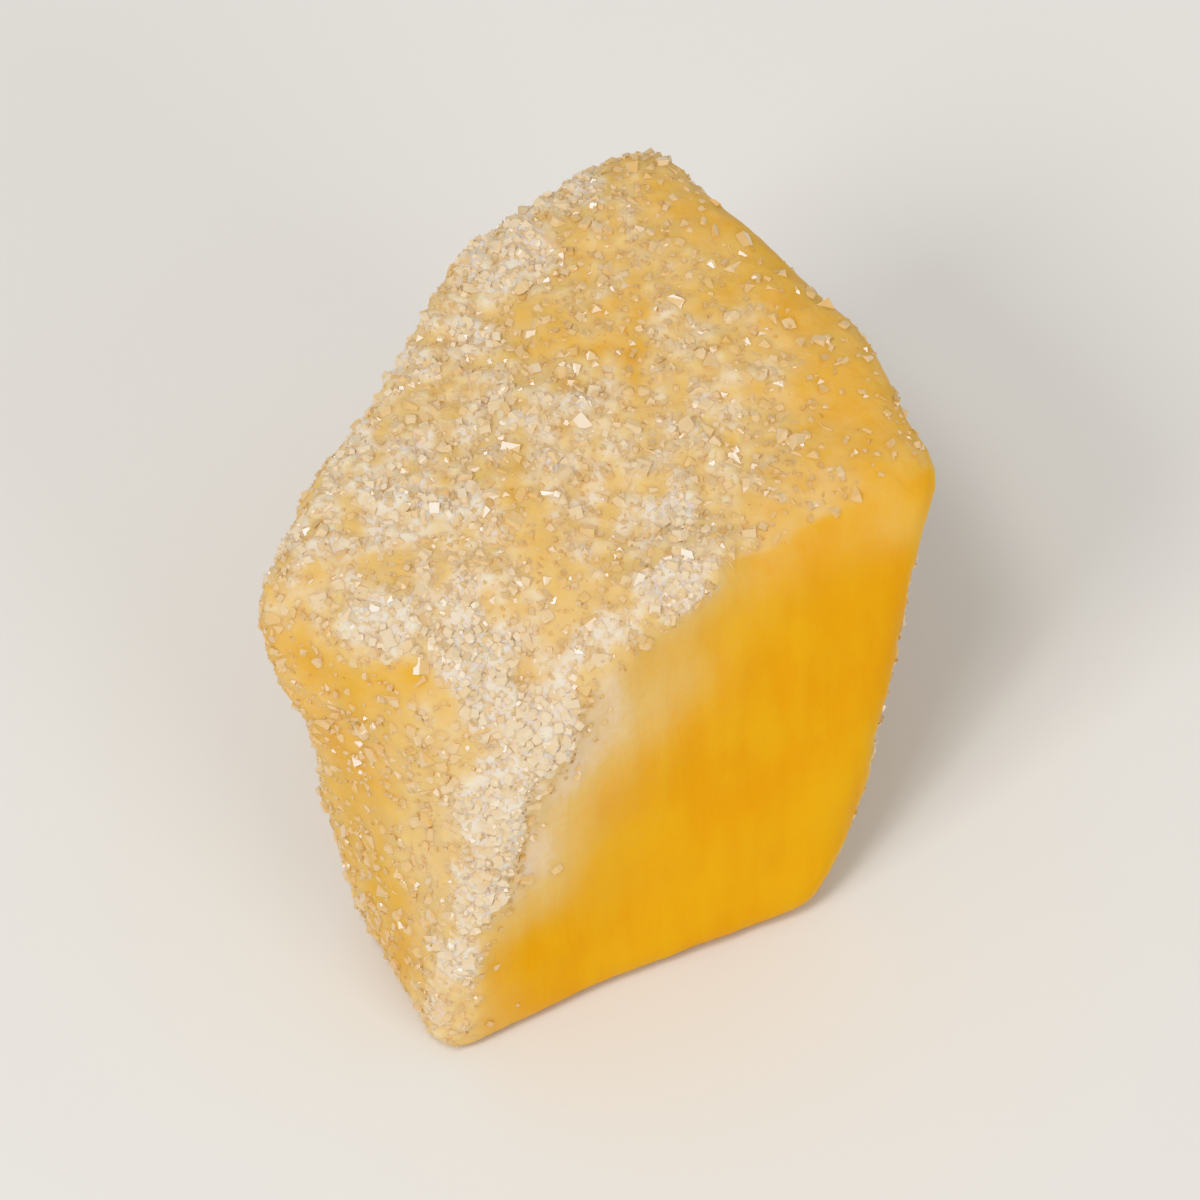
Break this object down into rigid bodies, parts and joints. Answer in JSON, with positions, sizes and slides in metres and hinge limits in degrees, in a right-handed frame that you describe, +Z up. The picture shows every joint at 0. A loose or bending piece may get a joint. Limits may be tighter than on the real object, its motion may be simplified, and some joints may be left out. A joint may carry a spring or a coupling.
{
  "type": "candied pineapple chunk",
  "caption": "Knife-cut block of candied pineapple: leaning flat sides, soft rounded edges, a sagging near corner and low relief of fibres and sugar crust. Rests on its bottom cut.",
  "frame": {"origin": "centre of the bounding box at the flat bottom cut that the chunk rests on", "axes": "+Z up, +Y along the longest side of the top face, from its near corner to its back corner, +X to the right of that"},
  "size_m": [0.013, 0.0148, 0.0108],
  "materials": {
    "candied_fruit": "translucent golden fruit, waxy where bare and frosted with fine white sugar grains",
    "sugar": "clear to white sugar crystals with glossy facets, warmed by the fruit under them"
  },
  "bodies": {
    "root": {"pineapple_chunk": "candied_fruit"}
  },
  "joints": []
}
